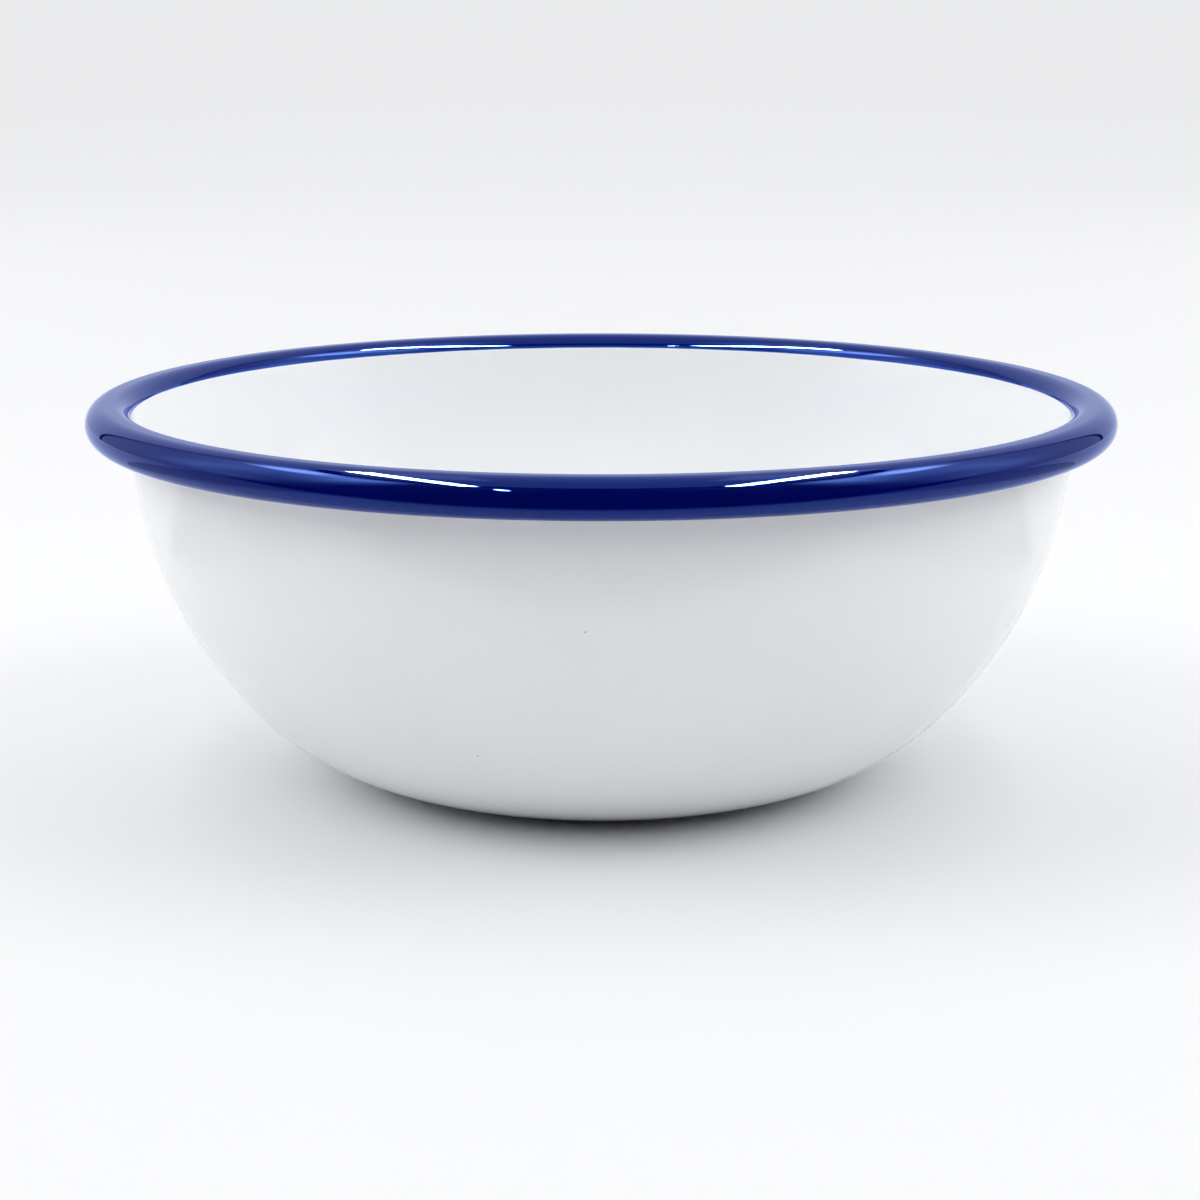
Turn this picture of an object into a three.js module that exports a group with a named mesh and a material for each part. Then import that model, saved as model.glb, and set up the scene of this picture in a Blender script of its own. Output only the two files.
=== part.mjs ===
// Enamel bowl: one pressed sheet-steel body with a rolled rim, and the three fired coats on it.
// Millimetres, +Z up, with the origin at the centre of the plane that the bowl stands on.

import * as THREE from 'three';

// Outside of the finished bowl
const RIM_DIAMETER = 160; // over the blue bead
const HEIGHT = 60.1; // from the foot to the top of the bead
const BEAD_DIAMETER = 6; // thickness of the rolled rim from top to bottom, over its enamel
const BEAD_FLAT = 1.2; // level stretch across the bead's crest, and again under it
const COLLAR_LENGTH = 8; // straight wall from the bead downwards
const WALL_LEAN = THREE.MathUtils.degToRad(6.7); // of that straight wall, away from upright
const BOTTOM_BEND_TURN = THREE.MathUtils.degToRad(45.7); // slope where the round bottom meets the wall
const FOOT_DIAMETER = 55; // outer edge of the flat ring under the base
const FOOT_RING_WIDTH = 5; // flat width of that ring
const PANEL_RISE = 0.8; // lift of the base inside the ring
const PANEL_BEND_RADIUS = 4; // of the two bends that make the lift

// Sheet and coats
const STEEL_GAUGE = 0.6;
const WHITE_ENAMEL = 0.2;
const BLUE_ENAMEL = 0.25;
const BOND_GAP = 0.02; // between a coat and the steel, and where two coats meet
const SEAM_CLEARANCE = 0.3; // between the coated edge of the curl and the coated wall
const BLUE_REACH = 3.1; // blue inside the rim, measured along the sheet from the bead's crest
const WHITE_TUCK = 1; // outer white coat running on above the edge of the curl

// Facets
const FACETS_AROUND = 44;
const PANEL_BEND_STEPS = 2;
const BOTTOM_BEND_STEPS = 5;
const WALL_STEPS = 4;
const CURL_QUARTER_STEPS = 3;
const CURL_TUCK_STEPS = 2;

// Depths of the layers, measured from the middle of the sheet towards the inside of the bowl.
// On the curl the inside of the sheet becomes the outside of the bead.
const STEEL_FACE = STEEL_GAUGE / 2;
const COAT_BACK = STEEL_FACE + BOND_GAP;
const WHITE_FACE = COAT_BACK + WHITE_ENAMEL;
const BLUE_FACE = COAT_BACK + BLUE_ENAMEL;
const EDGE_COVER = BOND_GAP + BLUE_ENAMEL; // blue past the cut edge of the steel

// Bead: the curl stops where its coated edge is one seam clearance short of the coated wall. Its place is
// the centre of the curl's inner half, and the outer half lies one flat further out.
const beadRadius = BEAD_DIAMETER / 2;
const curlRadius = beadRadius - BLUE_FACE;
const bead = { r: RIM_DIAMETER / 2 - beadRadius - BEAD_FLAT, z: HEIGHT - beadRadius };
const wallToBeadCentre = curlRadius - WHITE_FACE - SEAM_CLEARANCE;
const edgeCorner = Math.hypot(beadRadius, EDGE_COVER);
const curlGap = Math.atan2(EDGE_COVER, beadRadius) + Math.acos(wallToBeadCentre / edgeCorner);
const seamBelowTangent = beadRadius * Math.sin(curlGap) - EDGE_COVER * Math.cos(curlGap);

// Side: the round bottom and the wall are two arcs that meet smoothly between the foot and the collar.
const quarterTurn = Math.PI / 2;
const collarHeading = quarterTurn - WALL_LEAN;
const collarFoot = {
  r: bead.r - curlRadius * Math.cos(WALL_LEAN) - COLLAR_LENGTH * Math.sin(WALL_LEAN),
  z: bead.z + curlRadius * Math.sin(WALL_LEAN) - COLLAR_LENGTH * Math.cos(WALL_LEAN),
};
const side = { r: collarFoot.r - FOOT_DIAMETER / 2, z: collarFoot.z - WHITE_FACE };
const bottomArc = { r: Math.sin(BOTTOM_BEND_TURN), z: 1 - Math.cos(BOTTOM_BEND_TURN) };
const wallArc = {
  r: Math.sin(collarHeading) - Math.sin(BOTTOM_BEND_TURN),
  z: Math.cos(BOTTOM_BEND_TURN) - Math.cos(collarHeading),
};
const arcSpread = bottomArc.r * wallArc.z - wallArc.r * bottomArc.z;
const bottomRadius = (side.r * wallArc.z - wallArc.r * side.z) / arcSpread;
const wallRadius = (bottomArc.r * side.z - side.r * bottomArc.z) / arcSpread;

// Curl: up to the crest and across it, out to the rim's widest, down to its underside, and back in to
// the wall.
const tuckTurn = quarterTurn + WALL_LEAN - curlGap;

// Base: the panel is lifted by two equal bends, one down and one back to level.
const panelSlope = Math.acos(1 - PANEL_RISE / (2 * PANEL_BEND_RADIUS));
const panelStep = 2 * PANEL_BEND_RADIUS * Math.sin(panelSlope);
const panelRadius = FOOT_DIAMETER / 2 - FOOT_RING_WIDTH - panelStep;

function straight(length) {
  return { length, turn: 0, steps: 1 };
}

// A positive turn bends the sheet upwards, a negative one downwards.
function bend(radius, turn, steps) {
  return { length: radius * Math.abs(turn), turn, steps };
}

// The place on a stretch, a distance from its start. Heading 0 points straight out from the axis.
function placeOn(stretch, distance) {
  const { from, length, turn } = stretch;
  const heading = from.heading + turn * distance / length;
  const along = from.along + distance;
  if (turn === 0) {
    return {
      r: from.r + distance * Math.cos(heading),
      z: from.z + distance * Math.sin(heading),
      heading,
      along,
    };
  }
  const radius = length / turn;
  return {
    r: from.r + radius * (Math.sin(heading) - Math.sin(from.heading)),
    z: from.z + radius * (Math.cos(from.heading) - Math.cos(heading)),
    heading,
    along,
  };
}

// The middle line of the sheet, from the axis to the cut edge inside the curl.
function laySheet(start, stretches) {
  let from = { ...start, heading: 0, along: 0 };
  return stretches.map((stretch) => {
    const laid = { ...stretch, from };
    from = placeOn(laid, stretch.length);
    return laid;
  });
}

function totalLength(stretches) {
  return stretches.reduce((sum, { length }) => sum + length, 0);
}

const dish = [
  straight(panelRadius),
  bend(PANEL_BEND_RADIUS, -panelSlope, PANEL_BEND_STEPS),
  bend(PANEL_BEND_RADIUS, panelSlope, PANEL_BEND_STEPS),
  straight(FOOT_RING_WIDTH),
  bend(bottomRadius, BOTTOM_BEND_TURN, BOTTOM_BEND_STEPS),
  bend(wallRadius, collarHeading - BOTTOM_BEND_TURN, WALL_STEPS),
  straight(COLLAR_LENGTH),
];
const curl = [
  bend(curlRadius, -collarHeading, CURL_QUARTER_STEPS),
  straight(BEAD_FLAT),
  bend(curlRadius, -quarterTurn, CURL_QUARTER_STEPS),
  bend(curlRadius, -quarterTurn, CURL_QUARTER_STEPS),
  straight(BEAD_FLAT),
  bend(curlRadius, -tuckTurn, CURL_TUCK_STEPS),
];
const sheet = laySheet({ r: 0, z: WHITE_FACE + PANEL_RISE }, [...dish, ...curl]);

// Distances along the sheet
const curlStart = totalLength(dish);
const cutEdge = curlStart + totalLength(curl);
const blueEdge = curlStart + curlRadius * collarHeading - BLUE_REACH;
const whiteTop = curlStart - seamBelowTangent + WHITE_TUCK;

function placeAt(along) {
  const stretch = sheet.findLast((candidate) => candidate.from.along <= along);
  return placeOn(stretch, along - stretch.from.along);
}

// Every layer breaks into facets at the same distances, so that layers stay parallel.
const breaks = sheet.flatMap(({ from, length, steps }) => (
  Array.from({ length: steps }, (_, step) => from.along + length * step / steps)
)).concat(blueEdge, whiteTop, cutEdge).sort((a, b) => a - b);

function placesBetween(start, end) {
  const inner = breaks.filter((along) => along > start + BOND_GAP && along < end - BOND_GAP);
  return [start, ...inner, end].map(placeAt);
}

// A profile point: a depth across the sheet at a place, and a distance on past it.
function profilePoint(place, depth, onwards = 0) {
  const cos = Math.cos(place.heading);
  const sin = Math.sin(place.heading);
  return new THREE.Vector2(
    place.r - depth * sin + onwards * cos,
    place.z + depth * cos + onwards * sin,
  );
}

// A layer's outline runs out along its lower face and back along its upper face.
function layerProfile(start, end, lowerDepth, upperDepth, endCap = []) {
  const places = placesBetween(start, end);
  const lowerFace = places.map((place) => profilePoint(place, lowerDepth));
  const upperFace = places.map((place) => profilePoint(place, upperDepth)).reverse();
  return [...lowerFace, ...endCap, ...upperFace];
}

function closed(profile) {
  return [...profile, profile[0].clone()];
}

function steelProfile() {
  return layerProfile(0, cutEdge, -STEEL_FACE, STEEL_FACE);
}

function innerWhiteProfile() {
  return layerProfile(0, blueEdge - BOND_GAP / 2, COAT_BACK, WHITE_FACE);
}

function outerWhiteProfile() {
  return layerProfile(0, whiteTop, -WHITE_FACE, -COAT_BACK);
}

// The blue coat follows the curl and folds over the cut edge of the steel.
function blueRimProfile() {
  const edge = placeAt(cutEdge);
  const overTheEdge = [
    profilePoint(edge, COAT_BACK, BOND_GAP),
    profilePoint(edge, -STEEL_FACE, BOND_GAP),
    profilePoint(edge, -STEEL_FACE, EDGE_COVER),
    profilePoint(edge, BLUE_FACE, EDGE_COVER),
  ];
  return closed(layerProfile(blueEdge + BOND_GAP / 2, cutEdge, COAT_BACK, BLUE_FACE, overTheEdge));
}

function revolved(name, profile, finish) {
  const geometry = new THREE.LatheGeometry(profile, FACETS_AROUND);
  const mesh = new THREE.Mesh(geometry, new THREE.MeshStandardMaterial(finish));
  mesh.name = name;
  return mesh;
}

const WHITE_GLAZE = { color: 0xf1f4f6, roughness: 0.12, metalness: 0 };
const BLUE_GLAZE = { color: 0x0c2d82, roughness: 0.1, metalness: 0 };
const BARE_STEEL = { color: 0x84888c, roughness: 0.45, metalness: 1 };

// The profiles are revolved about Y, so the group is turned to stand the bowl on its foot.
const bowl = new THREE.Group();
bowl.rotation.x = Math.PI / 2;
bowl.add(
  revolved('steel_body', steelProfile(), BARE_STEEL),
  revolved('inner_white_enamel', innerWhiteProfile(), WHITE_GLAZE),
  revolved('outer_white_enamel', outerWhiteProfile(), WHITE_GLAZE),
  revolved('blue_rim_enamel', blueRimProfile(), BLUE_GLAZE),
);

export default bowl;
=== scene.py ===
"""Enamel bowl: a pressed steel body with a rolled rim, and the three coats fired on it.

Laid out as an add-on and run as a script. Metres, +Z up, origin under the middle of the foot.
"""

import math
from collections import namedtuple

import bpy
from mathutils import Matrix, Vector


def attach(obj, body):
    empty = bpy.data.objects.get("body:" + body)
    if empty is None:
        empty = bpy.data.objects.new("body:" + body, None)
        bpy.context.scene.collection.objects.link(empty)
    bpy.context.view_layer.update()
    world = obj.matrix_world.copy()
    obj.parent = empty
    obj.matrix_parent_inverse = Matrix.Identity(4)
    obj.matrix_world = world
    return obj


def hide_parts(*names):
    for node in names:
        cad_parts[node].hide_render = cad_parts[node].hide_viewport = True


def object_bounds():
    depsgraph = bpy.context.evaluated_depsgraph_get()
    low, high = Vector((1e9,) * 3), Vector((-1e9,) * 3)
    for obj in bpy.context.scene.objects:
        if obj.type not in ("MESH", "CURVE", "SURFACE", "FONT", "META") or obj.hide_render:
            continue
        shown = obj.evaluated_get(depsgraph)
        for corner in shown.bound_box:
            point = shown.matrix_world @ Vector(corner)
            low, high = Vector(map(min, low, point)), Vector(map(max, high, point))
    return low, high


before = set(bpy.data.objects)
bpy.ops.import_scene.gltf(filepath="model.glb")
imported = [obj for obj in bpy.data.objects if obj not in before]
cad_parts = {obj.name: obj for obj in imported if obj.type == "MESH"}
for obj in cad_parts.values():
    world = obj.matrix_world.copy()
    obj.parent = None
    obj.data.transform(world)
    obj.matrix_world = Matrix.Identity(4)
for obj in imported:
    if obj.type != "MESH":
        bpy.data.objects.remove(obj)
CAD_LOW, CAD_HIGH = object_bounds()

bl_info = {
    "name": "Enamel Bowl",
    "version": (1, 0, 0),
    "blender": (4, 5, 0),
    "location": "View3D > Sidebar > Bowl",
    "description": "Builds an enamelled sheet-steel bowl and its white studio",
    "category": "Add Mesh",
}

MM = 0.001
BODY = "root"

# Facets of the finished pieces
COAT_FACETS = 320
STEEL_FACETS = 240
LONGEST_FACET = 1.2 * MM  # along the sheet
WIDEST_FACET_TURN = math.radians(5)
SHARP_CREASE = math.radians(40)
WELD_DISTANCE = 0.002 * MM
CORNER_STEPS = 5  # in the rounded edge of the blue, and in its feather

# Picture: the camera stands in front, a little above the rim, and looks down into the bowl.
CAMERA_DISTANCE = 450 * MM
CAMERA_PITCH = math.radians(12.31)
CAMERA_TARGET_HEIGHT = 26.73 * MM
CAMERA_SIDESTEP = -0.19 * MM
CAMERA_LENS = 84.6  # in millimetres, like the sensor's width
SENSOR_WIDTH = 36.0
CAMERA_NEAR = 10 * MM


def size(name, description, default):
    """A length in metres that a user may change."""
    return bpy.props.FloatProperty(
        name=name, description=description, default=default, min=0.0, precision=5, unit="LENGTH")


def slope(name, description, degrees):
    """An angle that a user may change."""
    return bpy.props.FloatProperty(
        name=name, description=description, default=math.radians(degrees), unit="ROTATION")


def tone(name, description, default):
    """A linear colour that a user may change."""
    return bpy.props.FloatVectorProperty(
        name=name, description=description, default=default, size=3, min=0.0, max=1.0, subtype="COLOR")


def amount(name, description, default, most=1.0):
    """A plain number that a user may change."""
    return bpy.props.FloatProperty(
        name=name, description=description, default=default, min=0.0, max=most, subtype="FACTOR")


class BowlSizes(bpy.types.PropertyGroup):
    """Sizes of the pressed sheet and its coats."""

    rim_diameter: size("Rim diameter", "Across the blue bead", CAD_HIGH.x - CAD_LOW.x)
    height: size("Height", "From the foot to the crest of the bead", CAD_HIGH.z - CAD_LOW.z)
    bead_diameter: size("Bead", "From top to bottom of the rolled rim, over its enamel", 6 * MM)
    bead_flat: size("Bead flat", "Level stretch on the crest of the bead, and again under it", 1.2 * MM)
    collar_length: size("Collar", "Straight wall from the bead downwards", 8 * MM)
    wall_lean: slope("Wall lean", "Lean of the straight wall away from upright", 6.7)
    bottom_turn: slope("Bottom turn", "Slope where the round bottom meets the wall", 45.7)
    foot_diameter: size("Foot", "Outer edge of the flat ring under the base", 55 * MM)
    foot_ring_width: size("Foot ring", "Flat width of the ring", 5 * MM)
    panel_rise: size("Panel rise", "Lift of the base inside the ring", 0.8 * MM)
    panel_bend_radius: size("Panel bend", "Radius of the two bends that make the lift", 4 * MM)
    steel_gauge: size("Steel", "Thickness of the sheet", 0.6 * MM)
    white_enamel: size("White coat", "Thickness of the white enamel", 0.2 * MM)
    blue_enamel: size("Blue coat", "Thickness of the blue enamel", 0.25 * MM)
    bond_gap: size("Bond gap", "Between a coat and the steel, and where two coats meet", 0.02 * MM)
    seam_clearance: size("Seam", "Between the edge of the curl and the wall", 0.3 * MM)
    blue_reach: size("Blue reach", "Blue inside the rim, from the crest along the sheet", 3.1 * MM)
    white_tuck: size("White tuck", "Outer white running on above the edge of the curl", 1 * MM)
    feather: size("Feather", "Width over which the edge of the blue thins out", 0.5 * MM)
    edge_wander: size("Edge wander", "Unevenness of the line between blue and white", 0.13 * MM)
    wander_size: size("Wander size", "Distance between the bays of that line", 9 * MM)
    wander_reach: size("Wander reach", "Width of coat that follows the uneven line", 1.5 * MM)
    wave_depth: size("Wave depth", "Depth of the slow waves in a fired coat", 0.03 * MM)
    wave_size: size("Wave size", "Distance between those waves", 16 * MM)


class BowlFinish(bpy.types.PropertyGroup):
    """Colours and gloss of the coats and the steel."""

    white: tone("White", "White enamel", (0.943, 0.961, 0.977))
    white_cloud: tone("White cloud", "Slight clouding of the white", (0.931, 0.951, 0.968))
    blue: tone("Blue", "Blue enamel where it lies thick", (0.0003, 0.0018, 0.0970))
    blue_cloud: tone("Blue cloud", "Slight clouding of the blue", (0.0004, 0.0024, 0.1120))
    blue_thin: tone("Thin blue", "Blue where it feathers out over the white", (0.020, 0.110, 0.480))
    blue_gleam: tone("Blue gleam", "Tint of what the blue reflects face on", (0.170, 0.360, 1.0))
    blue_glass: tone("Blue glass", "What the clear glass over the blue lets through", (0.70, 0.78, 1.0))
    pinhole: tone("Pinhole", "Pinholes in the white", (0.30, 0.31, 0.32))
    steel: tone("Steel", "Bare drawn steel", (0.52, 0.53, 0.55))
    steel_mark: tone("Steel mark", "Drawing marks on the steel", (0.40, 0.41, 0.43))


class BowlStage(bpy.types.PropertyGroup):
    """The white studio round the bowl."""

    floor: tone("Floor", "Pale floor", (0.891, 0.896, 0.907))
    background: tone("Background", "What the camera sees beyond the floor", (0.830, 0.830, 0.845))
    ambient: amount("Ambient", "Soft light from all round", 0.925, 2.0)
    strip_glow: amount("Strip glow", "Brightness of the two lamps overhead", 5.1, 100.0)
    strip_shine: amount("Strip shine", "Brightness of the lamps in reflections", 300.0, 2000.0)
    front_shade: amount("Front shade", "Brightness of the front card in reflections", 0.02)
    side_shade: amount("Side shade", "Brightness of the side cards in reflections", 0.55)
    canopy_shine: amount("Canopy shine", "Brightness of the canopies in reflections", 1.6, 10.0)


# The pressed sheet

Place = namedtuple("Place", "along r z heading")
Stretch = namedtuple("Stretch", "start length turn steps")

# facing and run are directions, across the sheet and along it. glaze, pull and thin are shares from
# 0 to 1: of the waves in a coat, of the wander of the blue line, and of the thinning of the blue.
OutlinePoint = namedtuple("OutlinePoint", "r z facing run glaze pull thin")


def place_on(stretch, distance):
    """The place on a stretch, a distance from its start. Heading 0 points straight out from the axis."""
    start = stretch.start
    heading = start.heading + stretch.turn * distance / stretch.length
    if stretch.turn == 0:
        out = distance * math.cos(heading)
        up = distance * math.sin(heading)
    else:
        radius = stretch.length / stretch.turn
        out = radius * (math.sin(heading) - math.sin(start.heading))
        up = radius * (math.cos(start.heading) - math.cos(heading))
    return Place(start.along + distance, start.r + out, start.z + up, heading)


def ease(share):
    """A smooth step from 0 to 1."""
    share = min(max(share, 0.0), 1.0)
    return share * share * (3 - 2 * share)


class PressedSheet:
    """The middle line of the sheet, from the axis to the cut edge inside the curl, and its layers."""

    def __init__(self, sizes):
        self.sizes = sizes
        self.set_depths()
        self.lay_middle_line()

    def set_depths(self):
        """Depths of the layers from the middle of the sheet towards the inside of the bowl."""
        sizes = self.sizes
        self.steel_face = sizes.steel_gauge / 2
        self.coat_back = self.steel_face + sizes.bond_gap
        self.white_face = self.coat_back + sizes.white_enamel
        self.blue_face = self.coat_back + sizes.blue_enamel
        self.edge_cover = sizes.bond_gap + sizes.blue_enamel

    def lay_middle_line(self):
        """Dish and curl as straight stretches and bends, each starting where the last one ends."""
        sizes = self.sizes
        lean = sizes.wall_lean
        turn = sizes.bottom_turn
        quarter = math.pi / 2
        heading = quarter - lean

        # The curl stops where its coated edge is one seam clearance short of the coated wall.
        bead_radius = sizes.bead_diameter / 2
        curl_radius = bead_radius - self.blue_face
        bead_r = sizes.rim_diameter / 2 - bead_radius - sizes.bead_flat
        bead_z = sizes.height - bead_radius
        to_wall = curl_radius - self.white_face - sizes.seam_clearance
        edge_corner = math.hypot(bead_radius, self.edge_cover)
        curl_gap = math.atan2(self.edge_cover, bead_radius) + math.acos(to_wall / edge_corner)
        seam_drop = bead_radius * math.sin(curl_gap) - self.edge_cover * math.cos(curl_gap)

        # The round bottom and the wall are two arcs that meet smoothly between foot and collar.
        collar = sizes.collar_length
        foot = sizes.foot_diameter / 2
        side_r = bead_r - curl_radius * math.cos(lean) - collar * math.sin(lean) - foot
        side_z = bead_z + curl_radius * math.sin(lean) - collar * math.cos(lean) - self.white_face
        bottom_r = math.sin(turn)
        bottom_z = 1 - math.cos(turn)
        wall_r = math.sin(heading) - bottom_r
        wall_z = math.cos(turn) - math.cos(heading)
        spread = bottom_r * wall_z - wall_r * bottom_z
        bottom_radius = (side_r * wall_z - wall_r * side_z) / spread
        wall_radius = (bottom_r * side_z - side_r * bottom_z) / spread

        # The base panel is lifted by two equal bends.
        bend = sizes.panel_bend_radius
        panel_slope = math.acos(1 - sizes.panel_rise / (2 * bend))
        panel_radius = foot - sizes.foot_ring_width - 2 * bend * math.sin(panel_slope)

        dish = [
            (panel_radius, 0.0),
            (bend * panel_slope, -panel_slope),
            (bend * panel_slope, panel_slope),
            (sizes.foot_ring_width, 0.0),
            (bottom_radius * turn, turn),
            (wall_radius * (heading - turn), heading - turn),
            (collar, 0.0),
        ]
        flat = (sizes.bead_flat, 0.0)
        tuck = quarter + lean - curl_gap
        curl = [
            (curl_radius * heading, -heading),
            flat,
            (curl_radius * quarter, -quarter),
            (curl_radius * quarter, -quarter),
            flat,
            (curl_radius * tuck, -tuck),
        ]
        self.stretches = []
        start = Place(0.0, 0.0, self.white_face + sizes.panel_rise, 0.0)
        for length, bend_turn in dish + curl:
            steps = math.ceil(max(length / LONGEST_FACET, abs(bend_turn) / WIDEST_FACET_TURN))
            self.stretches.append(Stretch(start, length, bend_turn, steps))
            start = place_on(self.stretches[-1], length)
        curl_start = sum(length for length, _ in dish)
        self.cut_edge = start.along
        self.blue_edge = curl_start + curl_radius * heading - sizes.blue_reach
        self.white_top = curl_start - seam_drop + sizes.white_tuck

    def place_at(self, along):
        """The place at a distance along the sheet."""
        stretch = [each for each in self.stretches if each.start.along <= along][-1]
        return place_on(stretch, along - stretch.start.along)

    def places_between(self, start, end):
        """Places along a layer. All layers break at the same distances, so that they stay parallel."""
        breaks = [
            stretch.start.along + stretch.length * step / stretch.steps
            for stretch in self.stretches
            for step in range(stretch.steps)
        ]
        feather = [
            self.blue_edge + self.sizes.feather * step / CORNER_STEPS
            for step in range(CORNER_STEPS + 1)
        ]
        margin = self.sizes.bond_gap
        inner = sorted(along for along in breaks + feather if start + margin < along < end - margin)
        return [self.place_at(along) for along in [start, *inner, end]]

    def edge_pull(self, along):
        """How far a place follows the uneven line between blue and white."""
        return ease(1 - abs(along - self.blue_edge) / self.sizes.wander_reach)

    def blue_thinness(self, along):
        """How thin the blue lies: 1 at its edge inside the bowl, and 0 past its feather."""
        return ease(1 - (along - self.blue_edge) / self.sizes.feather)


def outline_point(place, depth, onwards=0.0, side=1, glaze=0.0, pull=0.0, thin=0.0):
    """A point of a layer's outline: a depth across the sheet at a place, and a distance on past it."""
    cos = math.cos(place.heading)
    sin = math.sin(place.heading)
    return OutlinePoint(
        r=place.r - depth * sin + onwards * cos,
        z=place.z + depth * cos + onwards * sin,
        facing=(-side * sin, 0.0, side * cos),
        run=(cos, 0.0, sin),
        glaze=glaze,
        pull=pull,
        thin=thin,
    )


def steel_outline(sheet):
    """The bare sheet, out along its lower face and back along its upper face."""
    places = sheet.places_between(0.0, sheet.cut_edge)
    lower = [outline_point(place, -sheet.steel_face) for place in places]
    upper = [outline_point(place, sheet.steel_face) for place in places]
    return lower + upper[::-1]


def inner_white_outline(sheet):
    """White inside, from the middle of the bowl up to the blue."""
    places = sheet.places_between(0.0, sheet.blue_edge - sheet.sizes.bond_gap / 2)
    lower = [
        outline_point(place, sheet.coat_back, pull=sheet.edge_pull(place.along)) for place in places]
    upper = [
        outline_point(place, sheet.white_face, glaze=1.0, pull=sheet.edge_pull(place.along))
        for place in places]
    return lower + upper[::-1]


def outer_white_outline(sheet):
    """White outside, over the base, the foot ring and the wall, up into the crease under the bead."""
    places = sheet.places_between(0.0, sheet.white_top)
    lower = [outline_point(place, -sheet.white_face, side=-1, glaze=1.0) for place in places]
    upper = [outline_point(place, -sheet.coat_back) for place in places]
    return lower + upper[::-1]


def blue_rim_outline(sheet):
    """Blue from just inside the rim, round the bead and over the cut edge of the steel."""
    sizes = sheet.sizes
    places = sheet.places_between(sheet.blue_edge + sizes.bond_gap / 2, sheet.cut_edge)
    edge = places[-1]
    lower = [
        outline_point(place, sheet.coat_back, pull=sheet.edge_pull(place.along)) for place in places]
    cover = [
        outline_point(edge, sheet.coat_back, sizes.bond_gap),
        outline_point(edge, -sheet.steel_face, sizes.bond_gap),
        outline_point(edge, -sheet.steel_face, sheet.edge_cover),
    ]
    corner = []
    for step in range(CORNER_STEPS):
        around = math.pi / 2 * step / CORNER_STEPS
        corner.append(outline_point(
            edge,
            sheet.coat_back + sizes.blue_enamel * math.sin(around),
            sheet.edge_cover * math.cos(around),
        ))
    upper = []
    for place in places:
        thin = sheet.blue_thinness(place.along)
        depth = sheet.blue_face - thin * (sizes.blue_enamel - sizes.white_enamel)
        upper.append(outline_point(
            place, depth, glaze=1.0, pull=sheet.edge_pull(place.along), thin=thin))
    return lower + cover + corner + upper[::-1] + lower[:1]


# Node helpers

# A Mix node has several sockets of each name, so those for colours go by their number.
MIX_FACTOR = 0
MIX_FIRST = 6
MIX_SECOND = 7
MIX_RESULT = 2
NOISE_MIDDLE = 0.5


def add_node(tree, kind, inputs=(), **settings):
    """A node with its settings, whose inputs are set to values or linked to other nodes' outputs."""
    node = tree.nodes.new(kind)
    for name, value in settings.items():
        setattr(node, name, value)
    for socket, value in dict(inputs).items():
        if isinstance(value, bpy.types.NodeSocket):
            tree.links.new(value, node.inputs[socket])
        else:
            node.inputs[socket].default_value = value
    return node


def maths(tree, operation, *values):
    """The result of a Math node."""
    return add_node(tree, "ShaderNodeMath", enumerate(values), operation=operation).outputs[0]


def vector_maths(tree, operation, *values):
    """The vector result of a Vector Math node."""
    return add_node(tree, "ShaderNodeVectorMath", enumerate(values), operation=operation).outputs[0]


def scaled(tree, vector, factor):
    """A vector times a number."""
    inputs = {"Vector": vector, "Scale": factor}
    return add_node(tree, "ShaderNodeVectorMath", inputs, operation="SCALE").outputs[0]


def mixed_colour(tree, factor, first, second):
    """A colour between two others."""
    inputs = {MIX_FACTOR: factor, MIX_FIRST: first, MIX_SECOND: second}
    return add_node(tree, "ShaderNodeMix", inputs, data_type="RGBA").outputs[MIX_RESULT]


def smooth_range(tree, value, low, high):
    """A smooth step from 0 at low to 1 at high."""
    inputs = {"Value": value, "From Min": low, "From Max": high}
    return add_node(tree, "ShaderNodeMapRange", inputs, interpolation_type="SMOOTHSTEP").outputs[0]


def noise(tree, place, spacing, detail=2.0, seed=0.0):
    """Noise between 0 and 1 whose lumps lie about a spacing apart."""
    scale = maths(tree, "DIVIDE", 1.0, spacing)
    inputs = {"Vector": place, "W": seed, "Scale": scale, "Detail": detail}
    return add_node(tree, "ShaderNodeTexNoise", inputs, noise_dimensions="4D").outputs[0]


def rgba(colour):
    """A colour property as a colour with full alpha."""
    return (*colour, 1.0)


# Spinning an outline with Geometry Nodes

WAVE_SEED = 3.0  # one for all coats, so that blue and white follow the same line
SPIN_INPUTS = (
    ("Outline", "NodeSocketGeometry"),
    ("Facets Around", "NodeSocketInt"),
    ("Wave Depth", "NodeSocketFloat"),
    ("Wave Size", "NodeSocketFloat"),
    ("Edge Wander", "NodeSocketFloat"),
    ("Wander Size", "NodeSocketFloat"),
    ("Rim Radius", "NodeSocketFloat"),
    ("Seed", "NodeSocketFloat"),
    ("Material", "NodeSocketMaterial"),
)


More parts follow.
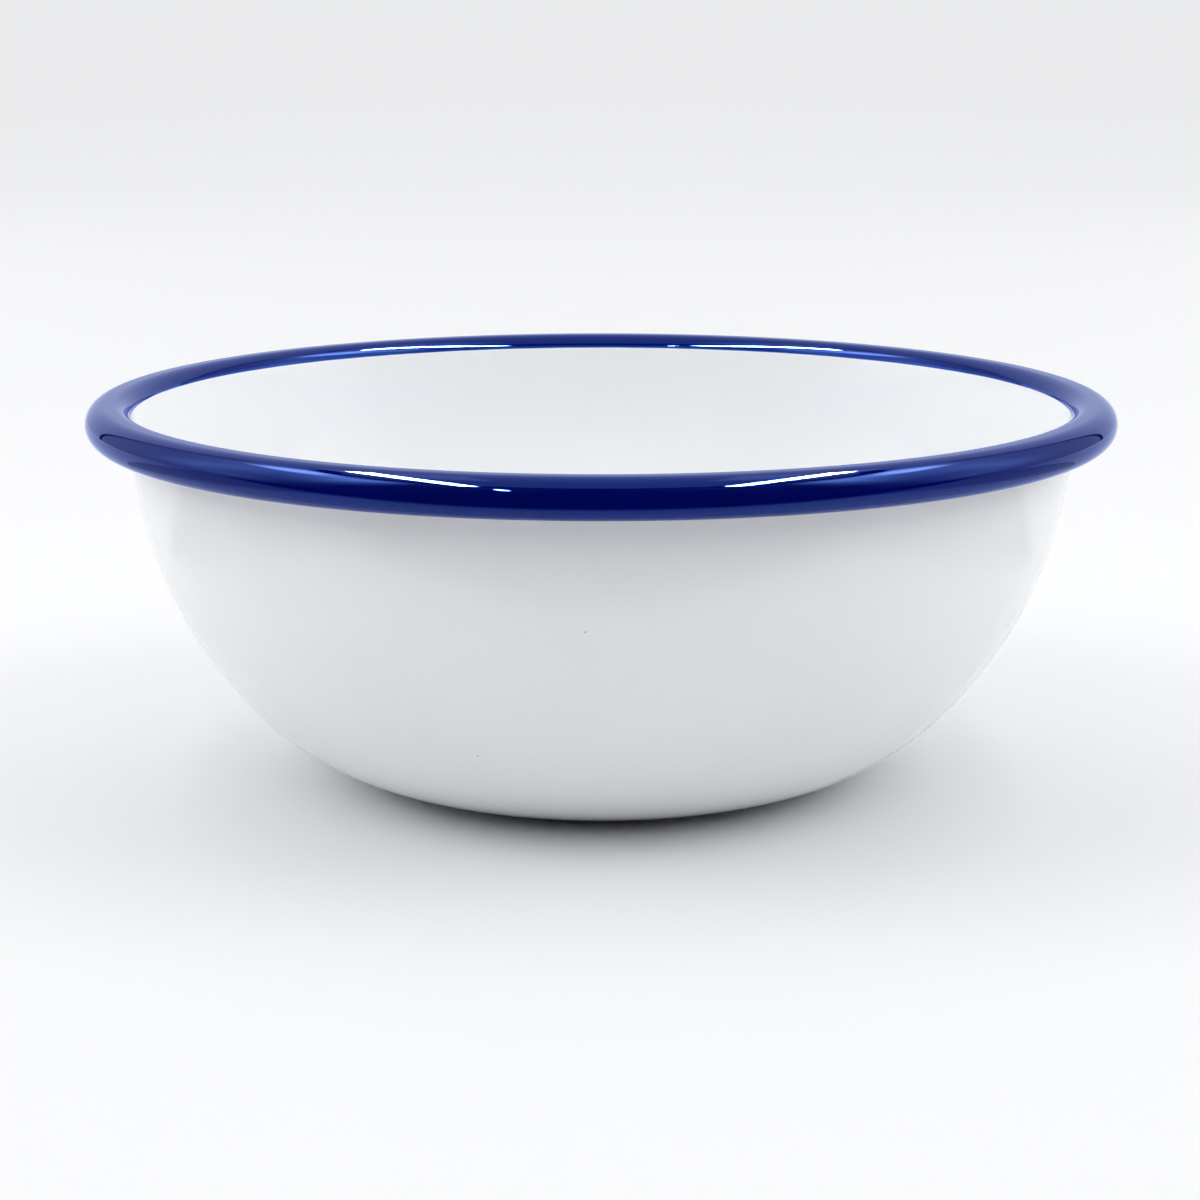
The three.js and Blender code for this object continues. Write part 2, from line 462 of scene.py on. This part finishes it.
def spin_tree():
    """Turns an outline in the XZ plane round the Z axis, with the slow waves of a fired coat."""
    tree = bpy.data.node_groups.new("Spin outline", "GeometryNodeTree")
    for name, kind in SPIN_INPUTS:
        tree.interface.new_socket(name, in_out="INPUT", socket_type=kind)
    tree.interface.new_socket("Piece", in_out="OUTPUT", socket_type="NodeSocketGeometry")
    given = tree.nodes.new("NodeGroupInput").outputs
    outline = given["Outline"]

    # A grid with one column for each point of the outline and one row for each facet round the axis
    counted = add_node(tree, "GeometryNodeAttributeDomainSize", {"Geometry": outline}, component="MESH")
    rows = maths(tree, "ADD", given["Facets Around"], 1.0)
    grid = add_node(
        tree, "GeometryNodeMeshGrid",
        {"Vertices X": counted.outputs["Point Count"], "Vertices Y": rows})
    index = tree.nodes.new("GeometryNodeInputIndex").outputs[0]
    column = maths(tree, "FLOOR", maths(tree, "DIVIDE", index, rows))
    row = maths(tree, "SUBTRACT", index, maths(tree, "MULTIPLY", column, rows))
    turn = maths(tree, "DIVIDE", math.tau, given["Facets Around"])
    angle = maths(tree, "MULTIPLY", row, turn)

    def sampled(value, data_type):
        inputs = {"Geometry": outline, "Value": value, "Index": column}
        return add_node(tree, "GeometryNodeSampleIndex", inputs, data_type=data_type).outputs[0]

    def of_outline(name, data_type):
        attribute = add_node(
            tree, "GeometryNodeInputNamedAttribute", {"Name": name}, data_type=data_type)
        return sampled(attribute.outputs[0], data_type)

    def turned(vector):
        inputs = {"Vector": vector, "Angle": angle}
        return add_node(tree, "ShaderNodeVectorRotate", inputs, rotation_type="Z_AXIS").outputs[0]

    position = tree.nodes.new("GeometryNodeInputPosition").outputs[0]
    place = turned(sampled(position, "FLOAT_VECTOR"))
    facing = turned(of_outline("facing", "FLOAT_VECTOR"))
    run = turned(of_outline("run", "FLOAT_VECTOR"))

    # Waves only lower a coat, so that the piece keeps within its size.
    lumps = noise(tree, place, given["Wave Size"], seed=given["Seed"])
    depth = maths(tree, "MULTIPLY", of_outline("glaze", "FLOAT"), given["Wave Depth"])
    sink = scaled(tree, facing, maths(tree, "MULTIPLY", maths(tree, "MULTIPLY", lumps, depth), -1.0))
    rim = turned(add_node(tree, "ShaderNodeCombineXYZ", {"X": given["Rim Radius"]}).outputs[0])
    bays = noise(tree, rim, given["Wander Size"], detail=4.0, seed=given["Seed"])
    swing = maths(tree, "MULTIPLY", maths(tree, "SUBTRACT", bays, NOISE_MIDDLE), given["Edge Wander"])
    shift = scaled(tree, run, maths(tree, "MULTIPLY", swing, of_outline("pull", "FLOAT")))
    moved = vector_maths(tree, "ADD", vector_maths(tree, "ADD", place, sink), shift)

    thin = add_node(
        tree, "GeometryNodeStoreNamedAttribute",
        {"Geometry": grid.outputs["Mesh"], "Name": "thin_edge", "Value": of_outline("thin", "FLOAT")},
        data_type="FLOAT", domain="POINT")
    spun = add_node(
        tree, "GeometryNodeSetPosition", {"Geometry": thin.outputs[0], "Position": moved})
    welded = add_node(
        tree, "GeometryNodeMergeByDistance", {"Geometry": spun.outputs[0], "Distance": WELD_DISTANCE})
    smooth = add_node(
        tree, "GeometryNodeSetShadeSmooth", {0: welded.outputs[0], "Shade Smooth": True}, domain="FACE")
    crease = tree.nodes.new("GeometryNodeInputMeshEdgeAngle").outputs["Unsigned Angle"]
    sharp = maths(tree, "GREATER_THAN", crease, SHARP_CREASE)
    creased = add_node(
        tree, "GeometryNodeSetShadeSmooth",
        {0: smooth.outputs[0], "Selection": sharp, "Shade Smooth": False}, domain="EDGE")
    realized = add_node(tree, "GeometryNodeRealizeInstances", {0: creased.outputs[0]})
    finished = add_node(
        tree, "GeometryNodeSetMaterial", {0: realized.outputs[0], "Material": given["Material"]})
    add_node(tree, "NodeGroupOutput", {"Piece": finished.outputs[0]})
    return tree


def outline_mesh(name, points):
    """The outline as a line of vertices in the XZ plane, with what the spin reads at each of them."""
    mesh = bpy.data.meshes.new(name)
    edges = [(first, first + 1) for first in range(len(points) - 1)]
    mesh.from_pydata([(point.r, 0.0, point.z) for point in points], edges, [])
    for field in ("facing", "run"):
        attribute = mesh.attributes.new(field, "FLOAT_VECTOR", "POINT")
        attribute.data.foreach_set("vector", [x for point in points for x in getattr(point, field)])
    for field in ("glaze", "pull", "thin"):
        attribute = mesh.attributes.new(field, "FLOAT", "POINT")
        attribute.data.foreach_set("value", [getattr(point, field) for point in points])
    return mesh


def set_input(modifier, name, value):
    """Sets a modifier's input by the identifier of the socket that has the name."""
    for item in modifier.node_group.interface.items_tree:
        if item.item_type == "SOCKET" and item.in_out == "INPUT" and item.name == name:
            modifier[item.identifier] = value
            return
    raise KeyError(f"the spin has no input named {name}")


def spun_piece(name, points, facets, material, sizes):
    """A plain mesh made by spinning an outline."""
    piece = bpy.data.objects.new(name, outline_mesh(name, points))
    bpy.context.scene.collection.objects.link(piece)
    tree = bpy.data.node_groups.get("Spin outline") or spin_tree()
    modifier = piece.modifiers.new("Spin", "NODES")
    modifier.node_group = tree
    values = {
        "Facets Around": facets,
        "Wave Depth": sizes.wave_depth,
        "Wave Size": sizes.wave_size,
        "Edge Wander": sizes.edge_wander,
        "Wander Size": sizes.wander_size,
        "Rim Radius": sizes.rim_diameter / 2,
        "Seed": WAVE_SEED,
        "Material": material,
    }
    for socket, value in values.items():
        set_input(modifier, socket, value)
    graph = bpy.context.evaluated_depsgraph_get()
    mesh = bpy.data.meshes.new_from_object(piece.evaluated_get(graph), depsgraph=graph)
    if not mesh.polygons:
        raise RuntimeError(f"the spin made no faces for {name}")
    outline = piece.data
    piece.modifiers.clear()
    piece.data = mesh
    bpy.data.meshes.remove(outline)
    mesh.name = name
    return piece


def fit(piece, node):
    """Makes a piece stand for its CAD node."""
    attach(piece, BODY)
    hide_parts(node)


# Finishes

CLOUD_EDGE = (0.35, 0.65)  # noise levels between which a cloud fades in
SMEAR_SEED = 5.0
PEEL_SEED = 2.0
GLAZE_INPUTS = (
    ("Colour", "NodeSocketColor"),
    ("Cloud Colour", "NodeSocketColor"),
    ("Cloud Size", "NodeSocketFloat"),
    ("Roughness", "NodeSocketFloat"),
    ("Roughness Spread", "NodeSocketFloat"),
    ("Peel Size", "NodeSocketFloat"),
)
GLAZE_OUTPUTS = (
    ("Colour", "NodeSocketColor"),
    ("Roughness", "NodeSocketFloat"),
    ("Height", "NodeSocketFloat"),
)


def glaze_group():
    """Clouding, uneven gloss and the fine orange peel of a fired coat."""
    group = bpy.data.node_groups.get("Fired glaze")
    if group:
        return group
    group = bpy.data.node_groups.new("Fired glaze", "ShaderNodeTree")
    for name, kind in GLAZE_INPUTS:
        group.interface.new_socket(name, in_out="INPUT", socket_type=kind)
    for name, kind in GLAZE_OUTPUTS:
        group.interface.new_socket(name, in_out="OUTPUT", socket_type=kind)
    given = group.nodes.new("NodeGroupInput").outputs
    place = group.nodes.new("ShaderNodeTexCoord").outputs["Object"]
    clouds = smooth_range(group, noise(group, place, given["Cloud Size"], detail=3.0), *CLOUD_EDGE)
    smears = noise(group, place, given["Cloud Size"], detail=4.0, seed=SMEAR_SEED)
    spread = maths(group, "MULTIPLY", smears, given["Roughness Spread"])
    add_node(group, "NodeGroupOutput", {
        "Colour": mixed_colour(group, clouds, given["Colour"], given["Cloud Colour"]),
        "Roughness": maths(group, "ADD", given["Roughness"], spread),
        "Height": noise(group, place, given["Peel Size"], detail=1.0, seed=PEEL_SEED),
    })
    return group


def new_material(name):
    """An empty node material, with its Principled shader linked to the output."""
    material = bpy.data.materials.new(name)
    material.use_nodes = True
    tree = material.node_tree
    tree.nodes.clear()
    shader = tree.nodes.new("ShaderNodeBsdfPrincipled")
    add_node(tree, "ShaderNodeOutputMaterial", {"Surface": shader.outputs[0]})
    return material, tree, shader


def add_glaze(tree, shader, inputs, peel_depth):
    """Feeds the shader's gloss and surface from a fired glaze, and gives back the glaze's colour."""
    glaze = add_node(tree, "ShaderNodeGroup", inputs, node_tree=glaze_group())
    bump = add_node(tree, "ShaderNodeBump", {"Height": glaze.outputs["Height"], "Distance": peel_depth})
    tree.links.new(glaze.outputs["Roughness"], shader.inputs["Roughness"])
    tree.links.new(bump.outputs[0], shader.inputs["Normal"])
    return glaze.outputs["Colour"]


WHITE_GLAZE_IOR = 1.5
PINHOLE_RADIUS = 0.16 * MM
PINHOLE_CORE = 0.4 * PINHOLE_RADIUS  # dark all through

# Turn from the front, and distance along the sheet from the middle of the base
PINHOLES_OUTSIDE = (
    (math.radians(-17.0), 64.5 * MM),
    (math.radians(-1.75), 88.2 * MM),
)


def outside_pinholes(sheet):
    """Middles of the outside pinholes, on the face of the white."""
    places = []
    for turn, along in PINHOLES_OUTSIDE:
        point = outline_point(sheet.place_at(along), -sheet.white_face)
        places.append((point.r * math.sin(turn), -point.r * math.cos(turn), point.z))
    return places


def white_enamel(name, finish, pinholes):
    """Glossy white glass with slight clouding and a few pinholes."""
    material, tree, shader = new_material(name)
    colour = add_glaze(tree, shader, {
        "Colour": rgba(finish.white),
        "Cloud Colour": rgba(finish.white_cloud),
        "Cloud Size": 22 * MM,
        "Roughness": 0.05,
        "Roughness Spread": 0.05,
        "Peel Size": 2.2 * MM,
    }, peel_depth=0.003 * MM)
    shader.inputs["IOR"].default_value = WHITE_GLAZE_IOR
    place = tree.nodes.new("ShaderNodeTexCoord").outputs["Object"]
    for pinhole in pinholes:
        gap = add_node(
            tree, "ShaderNodeVectorMath", {0: place, 1: pinhole}, operation="DISTANCE").outputs["Value"]
        clear = smooth_range(tree, gap, PINHOLE_CORE, PINHOLE_RADIUS)
        colour = mixed_colour(tree, clear, rgba(finish.pinhole), colour)
    tree.links.new(colour, shader.inputs["Base Color"])
    return material


BLUE_GLAZE_IOR = 1.9
BLUE_GLASS_IOR = 1.05  # hardly reflects, and takes more out of light that runs along it


def blue_enamel(finish):
    """Deep glossy blue glass that thins out where it feathers over the white."""
    material, tree, shader = new_material("blue enamel")
    thick = add_glaze(tree, shader, {
        "Colour": rgba(finish.blue),
        "Cloud Colour": rgba(finish.blue_cloud),
        "Cloud Size": 12 * MM,
        "Roughness": 0.01,
        "Roughness Spread": 0.03,
        "Peel Size": 1.1 * MM,
    }, peel_depth=0.0015 * MM)
    shader.inputs["IOR"].default_value = BLUE_GLAZE_IOR
    shader.inputs["Specular Tint"].default_value = rgba(finish.blue_gleam)
    shader.inputs["Coat Weight"].default_value = 1.0
    shader.inputs["Coat Roughness"].default_value = 0.02
    shader.inputs["Coat IOR"].default_value = BLUE_GLASS_IOR
    shader.inputs["Coat Tint"].default_value = rgba(finish.blue_glass)
    thin = add_node(tree, "ShaderNodeAttribute", attribute_name="thin_edge").outputs["Fac"]
    colour = mixed_colour(tree, thin, thick, rgba(finish.blue_thin))
    tree.links.new(colour, shader.inputs["Base Color"])
    return material


STEEL_RING_SPACING = 0.5 * MM
STEEL_RING_DEPTH = 0.004 * MM
STEEL_STAIN_SIZE = 9 * MM
STEEL_STAIN_SEED = 4.0
STEEL_WEAR = (0.1, 0.4)  # noise levels between which marked steel turns clean
STEEL_ROUGHNESS = 0.3
STEEL_ROUGHNESS_SPREAD = 0.25


def drawn_steel(finish):
    """Bare steel with the faint rings that the press leaves."""
    material, tree, shader = new_material("drawn steel")
    place = tree.nodes.new("ShaderNodeTexCoord").outputs["Object"]
    parts = add_node(tree, "ShaderNodeSeparateXYZ", {"Vector": place}).outputs
    flat = add_node(tree, "ShaderNodeCombineXYZ", {"X": parts["X"], "Y": parts["Y"]}).outputs[0]
    radius = add_node(tree, "ShaderNodeVectorMath", {0: flat}, operation="LENGTH").outputs["Value"]
    ring = add_node(tree, "ShaderNodeCombineXYZ", {"X": radius, "Z": parts["Z"]}).outputs[0]
    marks = noise(tree, ring, STEEL_RING_SPACING, detail=4.0)
    stains = noise(tree, place, STEEL_STAIN_SIZE, detail=3.0, seed=STEEL_STAIN_SEED)
    clean = smooth_range(tree, maths(tree, "MULTIPLY", marks, stains), *STEEL_WEAR)
    colour = mixed_colour(tree, clean, rgba(finish.steel_mark), rgba(finish.steel))
    bump = add_node(tree, "ShaderNodeBump", {"Height": marks, "Distance": STEEL_RING_DEPTH})
    spread = maths(tree, "MULTIPLY", stains, STEEL_ROUGHNESS_SPREAD)
    roughness = maths(tree, "ADD", spread, STEEL_ROUGHNESS)
    tree.links.new(colour, shader.inputs["Base Color"])
    tree.links.new(roughness, shader.inputs["Roughness"])
    tree.links.new(bump.outputs[0], shader.inputs["Normal"])
    shader.inputs["Metallic"].default_value = 1.0
    return material


# Stage

FLOOR_HALF_WIDTH = 40.0
CAMERA_REACH = 4 * FLOOR_HALF_WIDTH

# Two lamps overhead, and a small tail in front of the left one that only the gloss shows
STRIP_HEIGHT = 400 * MM
STRIP_OUT = 165 * MM
STRIP_FRONT = -250 * MM
STRIP_BACK = 110 * MM
STRIP_WIDTH = 26 * MM
TAIL_FRONT = -440 * MM
TAIL_BACK = -370 * MM
TAIL_WIDTH = 10 * MM

# The lit floor that the gloss shows, the cards that lie in front of it and at its sides, and the canopies
TABLE_HALF_WIDTH = 137 * MM
TABLE_FRONT = -122 * MM
TABLE_BACK = 60 * MM  # where the side cards end
TABLE_SURROUND = 3.0  # how far out the cards run
CARD_LIFT = 0.05 * MM  # above the floor
CARD_FADE = 16 * MM  # on each side of a card's edge
CANOPY_HEIGHT = 450 * MM
CANOPY_INNER = 90 * MM
CANOPY_OUTER = 220 * MM
CANOPY_FRONT = -30 * MM
CANOPY_BACK = 200 * MM

# The round screens. Each row is a height with its (azimuth, brightness) pairs, from the front round
# towards the back. Heights and azimuths are degrees seen from the middle of the floor.
SCREEN_RADIUS = 1.2
SCREEN_STEP = 4  # degrees
FILL_LOW = ((0, 0.0), (50, 0.0), (62, 0.37), (95, 0.37), (107, 2.6), (140, 2.6))
FILL_HIGH = ((0, 1.0), (50, 1.0), (62, 2.26), (95, 2.26), (107, 0.25), (140, 0.25))
FILL_SCREEN = ((0, FILL_LOW), (22, FILL_LOW), (28, FILL_HIGH), (51, FILL_HIGH))
SHINE_BEHIND = ((138, 0.88), (180, 0.88))
SHINE_END = ((135, 0.5), (136, 0.0), (137, 0.0), *SHINE_BEHIND)
SHINE_DARK = ((0, 0.02), (135, 0.02), *SHINE_BEHIND)
SHINE_SCREEN = (
    (0, ((0, 0.02), (60, 0.1), (75, 0.3), (105, 0.6), *SHINE_END)),
    (10, ((0, 0.02), (55, 0.05), (67, 0.3), (82, 1.3), (97, 1.0), (112, 0.7), *SHINE_END)),
    (20, ((0, 0.02), (55, 0.05), (64, 0.6), (82, 1.0), (97, 1.8), (112, 0.8), *SHINE_END)),
    (34, ((0, 0.02), (50, 0.1), (64, 2.0), (75, 1.3), (97, 2.0), (112, 0.9), *SHINE_END)),
    (46, ((0, 0.02), (48, 0.1), (56, 2.0), (64, 5.0), (72, 3.0), (82, 1.8), (112, 1.6), *SHINE_END)),
    (50, ((0, 0.02), (52, 0.5), (62, 5.0), (82, 6.0), (97, 11.0), (112, 9.0), (122, 1.5), *SHINE_BEHIND)),
    (55, ((0, 0.02), (55, 0.1), (72, 0.8), (85, 4.0), (97, 11.0), (112, 5.0), (122, 1.0), *SHINE_BEHIND)),
    (57, SHINE_DARK),
    (60, SHINE_DARK),
)


def flat_piece(name, corners, faces, material):
    """A stage object from corners and faces."""
    mesh = bpy.data.meshes.new(name)
    mesh.from_pydata(corners, [], faces)
    mesh.materials.append(material)
    piece = bpy.data.objects.new(name, mesh)
    bpy.context.scene.collection.objects.link(piece)
    return piece


def rectangles_piece(name, rectangles, height, material):
    """A stage object of level rectangles, each given by its left, front, right and back."""
    corners = []
    for left, front, right, back in rectangles:
        corners += [
            (left, front, height),
            (right, front, height),
            (right, back, height),
            (left, back, height),
        ]
    faces = [tuple(range(first, first + 4)) for first in range(0, len(corners), 4)]
    return flat_piece(name, corners, faces, material)


FIRST_BOUNCE = 0.5  # between no diffuse bounce and one


def show_only_to_gloss(piece, tree, glow, level):
    """Shows a glowing stage object in reflections only, so that it adds nothing to the soft light."""
    piece.visible_camera = False
    piece.visible_diffuse = False
    piece.visible_shadow = False
    bounces = tree.nodes.new("ShaderNodeLightPath").outputs["Diffuse Depth"]
    direct = maths(tree, "LESS_THAN", bounces, FIRST_BOUNCE)
    tree.links.new(maths(tree, "MULTIPLY", direct, level), glow.inputs["Strength"])


def add_floor(stage):
    """A plain pale floor at the level of the foot, which is clear from below."""
    material, tree, shader = new_material("pale floor")
    below = tree.nodes.new("ShaderNodeNewGeometry").outputs["Backfacing"]
    tree.links.new(maths(tree, "SUBTRACT", 1.0, below), shader.inputs["Alpha"])
    shader.inputs["Base Color"].default_value = rgba(stage.floor)
    shader.inputs["Roughness"].default_value = 0.9
    shader.inputs["Specular IOR Level"].default_value = 0.0
    half = FLOOR_HALF_WIDTH
    rectangles_piece("floor", [(-half, -half, half, half)], 0.0, material)


def glowing(name):
    """A material that only gives light, with its Emission node, whose strength is linked later."""
    material = bpy.data.materials.new(name)
    material.use_nodes = True
    tree = material.node_tree
    tree.nodes.clear()
    glow = tree.nodes.new("ShaderNodeEmission")
    glow.inputs["Color"].default_value = (1.0, 1.0, 1.0, 1.0)
    add_node(tree, "ShaderNodeOutputMaterial", {"Surface": glow.outputs[0]})
    return material, tree, glow


def add_strips(stage):
    """Two long lamps overhead, one on each side, and what the gloss shows of them."""
    length = STRIP_BACK - STRIP_FRONT
    rectangles = []
    for middle in (-STRIP_OUT, STRIP_OUT):
        lamp = bpy.data.lights.new("strip lamp", "AREA")
        lamp.shape = "RECTANGLE"
        lamp.size = STRIP_WIDTH
        lamp.size_y = length
        lamp.energy = stage.strip_glow * math.pi * STRIP_WIDTH * length
        strip = bpy.data.objects.new("strip lamp", lamp)
        strip.location = (middle, (STRIP_FRONT + STRIP_BACK) / 2, STRIP_HEIGHT)
        strip.visible_camera = False
        strip.visible_glossy = False
        bpy.context.scene.collection.objects.link(strip)
        rectangles.append((middle - STRIP_WIDTH / 2, STRIP_FRONT, middle + STRIP_WIDTH / 2, STRIP_BACK))
    rectangles.append((-STRIP_OUT - TAIL_WIDTH / 2, TAIL_FRONT, -STRIP_OUT + TAIL_WIDTH / 2, TAIL_BACK))
    shine, tree, glow = glowing("lamp shine")
    faces = rectangles_piece("lamp_faces", rectangles, STRIP_HEIGHT, shine)
    show_only_to_gloss(faces, tree, glow, stage.strip_shine)


def fade_in(tree, glow, axis, edge):
    """Makes a glowing card clear on the bowl's side of its edge, and solid on the other side."""
    place = tree.nodes.new("ShaderNodeTexCoord").outputs["Object"]
    out = add_node(tree, "ShaderNodeSeparateXYZ", {"Vector": place}).outputs[axis]
    cover = smooth_range(tree, maths(tree, "ABSOLUTE", out), edge - CARD_FADE, edge + CARD_FADE)
    clear = tree.nodes.new("ShaderNodeBsdfTransparent")
    mix = add_node(tree, "ShaderNodeMixShader", {0: cover, 1: clear.outputs[0], 2: glow.outputs[0]})
    tree.links.new(mix.outputs[0], tree.get_output_node("ALL").inputs["Surface"])


def add_cards(stage):
    """What the gloss shows in front of the lit floor and at its sides, and canopies overhead."""
    far = TABLE_SURROUND
    side_start = TABLE_HALF_WIDTH - CARD_FADE
    side_front = TABLE_FRONT - CARD_FADE
    ahead = [(-far, -far, far, TABLE_FRONT + CARD_FADE)]
    aside = [
        (-far, side_front, -side_start, TABLE_BACK),
        (side_start, side_front, far, TABLE_BACK),
    ]
    for name, rectangles, height, level, axis, edge in (
        ("side_cards", aside, CARD_LIFT, stage.side_shade, "X", TABLE_HALF_WIDTH),
        ("front_card", ahead, 2 * CARD_LIFT, stage.front_shade, "Y", -TABLE_FRONT),
    ):
        material, tree, glow = glowing(name)
        show_only_to_gloss(rectangles_piece(name, rectangles, height, material), tree, glow, level)
        fade_in(tree, glow, axis, edge)
    overhead = [
        (-CANOPY_OUTER, CANOPY_FRONT, -CANOPY_INNER, CANOPY_BACK),
        (CANOPY_INNER, CANOPY_FRONT, CANOPY_OUTER, CANOPY_BACK),
    ]
    material, tree, glow = glowing("canopies")
    canopies = rectangles_piece("canopies", overhead, CANOPY_HEIGHT, material)
    show_only_to_gloss(canopies, tree, glow, stage.canopy_shine)


def brightness_at(stops, azimuth):
    """Brightness of a screen row at an azimuth, from the stops on both sides of it."""
    for (first, low), (second, high) in zip(stops, stops[1:]):
        if azimuth <= second:
            return low + (high - low) * (azimuth - first) / (second - first)
    return stops[-1][1]


def screen_piece(name, rows):
    """A tall round screen about the bowl, which glows as its rows say."""
    reach = rows[0][1][-1][0]
    turns = set(range(0, reach + 1, SCREEN_STEP))
    for _, stops in rows:
        turns.update(azimuth for azimuth, _ in stops)
    azimuths = sorted(turns | {-azimuth for azimuth in turns})
    corners = []
    glows = []
    for azimuth in azimuths:
        x = SCREEN_RADIUS * math.sin(math.radians(azimuth))
        y = -SCREEN_RADIUS * math.cos(math.radians(azimuth))
        for height, stops in rows:
            corners.append((x, y, SCREEN_RADIUS * math.tan(math.radians(height))))
            glows.append(brightness_at(stops, abs(azimuth)))
    tall = len(rows)
    faces = []
    for foot in range(0, len(corners) - tall, tall):
        for corner in range(foot, foot + tall - 1):
            faces.append((corner, corner + tall, corner + tall + 1, corner + 1))
    material, tree, glow = glowing(name)
    level = add_node(tree, "ShaderNodeAttribute", attribute_name="glow").outputs["Fac"]
    tree.links.new(level, glow.inputs["Strength"])
    screen = flat_piece(name, corners, faces, material)
    screen.data.attributes.new("glow", "FLOAT", "POINT").data.foreach_set("value", glows)
    screen.visible_camera = False
    return screen, tree, glow, level


def add_screens():
    """One screen for the soft light, and one for what the gloss shows of the studio."""
    fill = screen_piece("fill_screen", FILL_SCREEN)[0]
    fill.visible_glossy = False
    show_only_to_gloss(*screen_piece("shine_screen", SHINE_SCREEN))


def add_world(stage):
    """Soft white light all round, and a plain pale background for the camera and for reflections."""
    world = bpy.data.worlds.new("white studio")
    world.use_nodes = True
    tree = world.node_tree
    tree.nodes.clear()
    seen = add_node(tree, "ShaderNodeBackground", {"Color": rgba(stage.background), "Strength": 1.0})
    soft = add_node(tree, "ShaderNodeBackground", {"Strength": stage.ambient})
    soft.inputs["Color"].default_value = (1.0, 1.0, 1.0, 1.0)
    rays = tree.nodes.new("ShaderNodeLightPath").outputs
    straight = maths(tree, "MAXIMUM", rays["Is Camera Ray"], rays["Is Glossy Ray"])
    shown = maths(tree, "MAXIMUM", straight, rays["Is Transmission Ray"])
    mix = add_node(
        tree, "ShaderNodeMixShader", {0: shown, 1: soft.outputs[0], 2: seen.outputs[0]})
    add_node(tree, "ShaderNodeOutputWorld", {"Surface": mix.outputs[0]})
    bpy.context.scene.world = world


def add_camera():
    """The camera at the picture's viewing angle."""
    data = bpy.data.cameras.new("camera")
    data.lens = CAMERA_LENS
    data.sensor_width = SENSOR_WIDTH
    data.clip_start = CAMERA_NEAR
    data.clip_end = CAMERA_REACH
    camera = bpy.data.objects.new("camera", data)
    camera.location = (
        CAMERA_SIDESTEP,
        -CAMERA_DISTANCE * math.cos(CAMERA_PITCH),
        CAMERA_TARGET_HEIGHT + CAMERA_DISTANCE * math.sin(CAMERA_PITCH),
    )
    camera.rotation_euler = (math.pi / 2 - CAMERA_PITCH, 0.0, 0.0)
    bpy.context.scene.collection.objects.link(camera)
    bpy.context.scene.camera = camera


# Operators

class BOWL_OT_steel_body(bpy.types.Operator):
    """Make the pressed steel body with its rolled rim"""

    bl_idname = "bowl.steel_body"
    bl_label = "Steel Body"

    def execute(self, context):
        sizes = context.scene.bowl_sizes
        steel = drawn_steel(context.scene.bowl_finish)
        piece = spun_piece(
            "pressed_steel_body", steel_outline(PressedSheet(sizes)), STEEL_FACETS, steel, sizes)
        fit(piece, "steel_body")
        return {"FINISHED"}


class BOWL_OT_white_coats(bpy.types.Operator):
    """Fire the white enamel inside and outside"""

    bl_idname = "bowl.white_coats"
    bl_label = "White Coats"

    def execute(self, context):
        sizes = context.scene.bowl_sizes
        finish = context.scene.bowl_finish
        sheet = PressedSheet(sizes)
        inside = white_enamel("white enamel inside", finish, ())
        piece = spun_piece("white_coat_inside", inner_white_outline(sheet), COAT_FACETS, inside, sizes)
        fit(piece, "inner_white_enamel")
        outside = white_enamel("white enamel outside", finish, outside_pinholes(sheet))
        piece = spun_piece("white_coat_outside", outer_white_outline(sheet), COAT_FACETS, outside, sizes)
        fit(piece, "outer_white_enamel")
        return {"FINISHED"}


class BOWL_OT_blue_rim(bpy.types.Operator):
    """Fire the blue enamel over the rolled rim"""

    bl_idname = "bowl.blue_rim"
    bl_label = "Blue Rim"

    def execute(self, context):
        sizes = context.scene.bowl_sizes
        blue = blue_enamel(context.scene.bowl_finish)
        piece = spun_piece(
            "blue_rim_coat", blue_rim_outline(PressedSheet(sizes)), COAT_FACETS, blue, sizes)
        fit(piece, "blue_rim_enamel")
        return {"FINISHED"}


class BOWL_OT_stage(bpy.types.Operator):
    """Set up the floor, the light and the camera"""

    bl_idname = "bowl.stage"
    bl_label = "Stage"

    def execute(self, context):
        stage = context.scene.bowl_stage
        context.scene.view_settings.view_transform = "Standard"
        add_floor(stage)
        add_strips(stage)
        add_screens()
        add_cards(stage)
        add_world(stage)
        add_camera()
        return {"FINISHED"}


class BOWL_PT_sidebar(bpy.types.Panel):
    """Sizes, finish and pieces of the bowl"""

    bl_idname = "BOWL_PT_sidebar"
    bl_label = "Enamel Bowl"
    bl_space_type = "VIEW_3D"
    bl_region_type = "UI"
    bl_category = "Bowl"

    def draw(self, context):
        for group in (context.scene.bowl_sizes, context.scene.bowl_finish, context.scene.bowl_stage):
            box = self.layout.box()
            for name in group.__annotations__:
                box.prop(group, name)
        for operator in PIECES_IN_ORDER:
            self.layout.operator(operator.bl_idname)


PIECES_IN_ORDER = (BOWL_OT_steel_body, BOWL_OT_white_coats, BOWL_OT_blue_rim, BOWL_OT_stage)
CLASSES = (BowlSizes, BowlFinish, BowlStage, *PIECES_IN_ORDER, BOWL_PT_sidebar)


def register():
    for each in CLASSES:
        bpy.utils.register_class(each)
    bpy.types.Scene.bowl_sizes = bpy.props.PointerProperty(type=BowlSizes)
    bpy.types.Scene.bowl_finish = bpy.props.PointerProperty(type=BowlFinish)
    bpy.types.Scene.bowl_stage = bpy.props.PointerProperty(type=BowlStage)


def unregister():
    del bpy.types.Scene.bowl_stage
    del bpy.types.Scene.bowl_finish
    del bpy.types.Scene.bowl_sizes
    for each in reversed(CLASSES):
        bpy.utils.unregister_class(each)


def main():
    register()
    bpy.ops.bowl.steel_body()
    bpy.ops.bowl.white_coats()
    bpy.ops.bowl.blue_rim()
    bpy.ops.bowl.stage()


if __name__ == "__main__":
    main()
